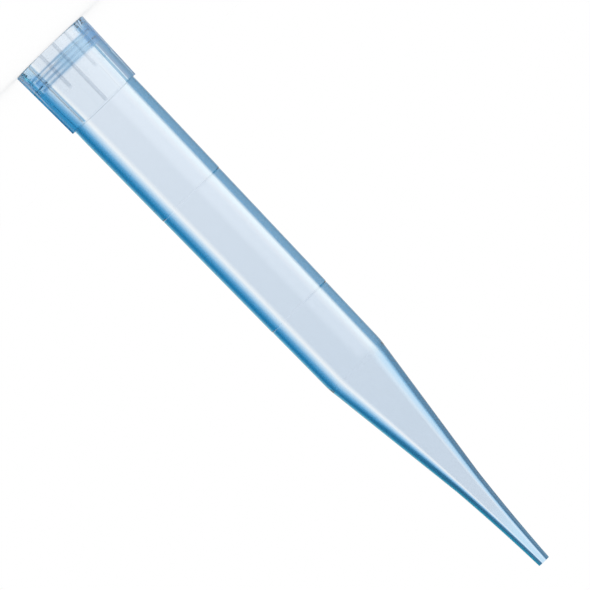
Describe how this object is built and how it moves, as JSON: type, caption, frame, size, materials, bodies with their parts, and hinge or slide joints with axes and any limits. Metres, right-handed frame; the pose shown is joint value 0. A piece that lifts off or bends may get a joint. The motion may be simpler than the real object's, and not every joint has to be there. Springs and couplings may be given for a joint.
{
  "type": "pipette tip",
  "caption": "Blue-tinted clear plastic pipette tip: ribbed collar with an open mouth, long tapered body with two volume rings, and a fine conical point with a small orifice.",
  "frame": {"origin": "centre of the open mouth, on the mouth face that the tip stands on", "axes": "+Z along the tip's axis from the mouth towards the fine orifice; +X through the crest of a long grip rib"},
  "size_m": [0.0092, 0.0092, 0.0714],
  "materials": {
    "clear_blue_plastic": "clear blue-tinted polypropylene, glossy, with a slight haze"
  },
  "bodies": {
    "root": {"pipette_tip": "clear_blue_plastic"}
  },
  "joints": []
}
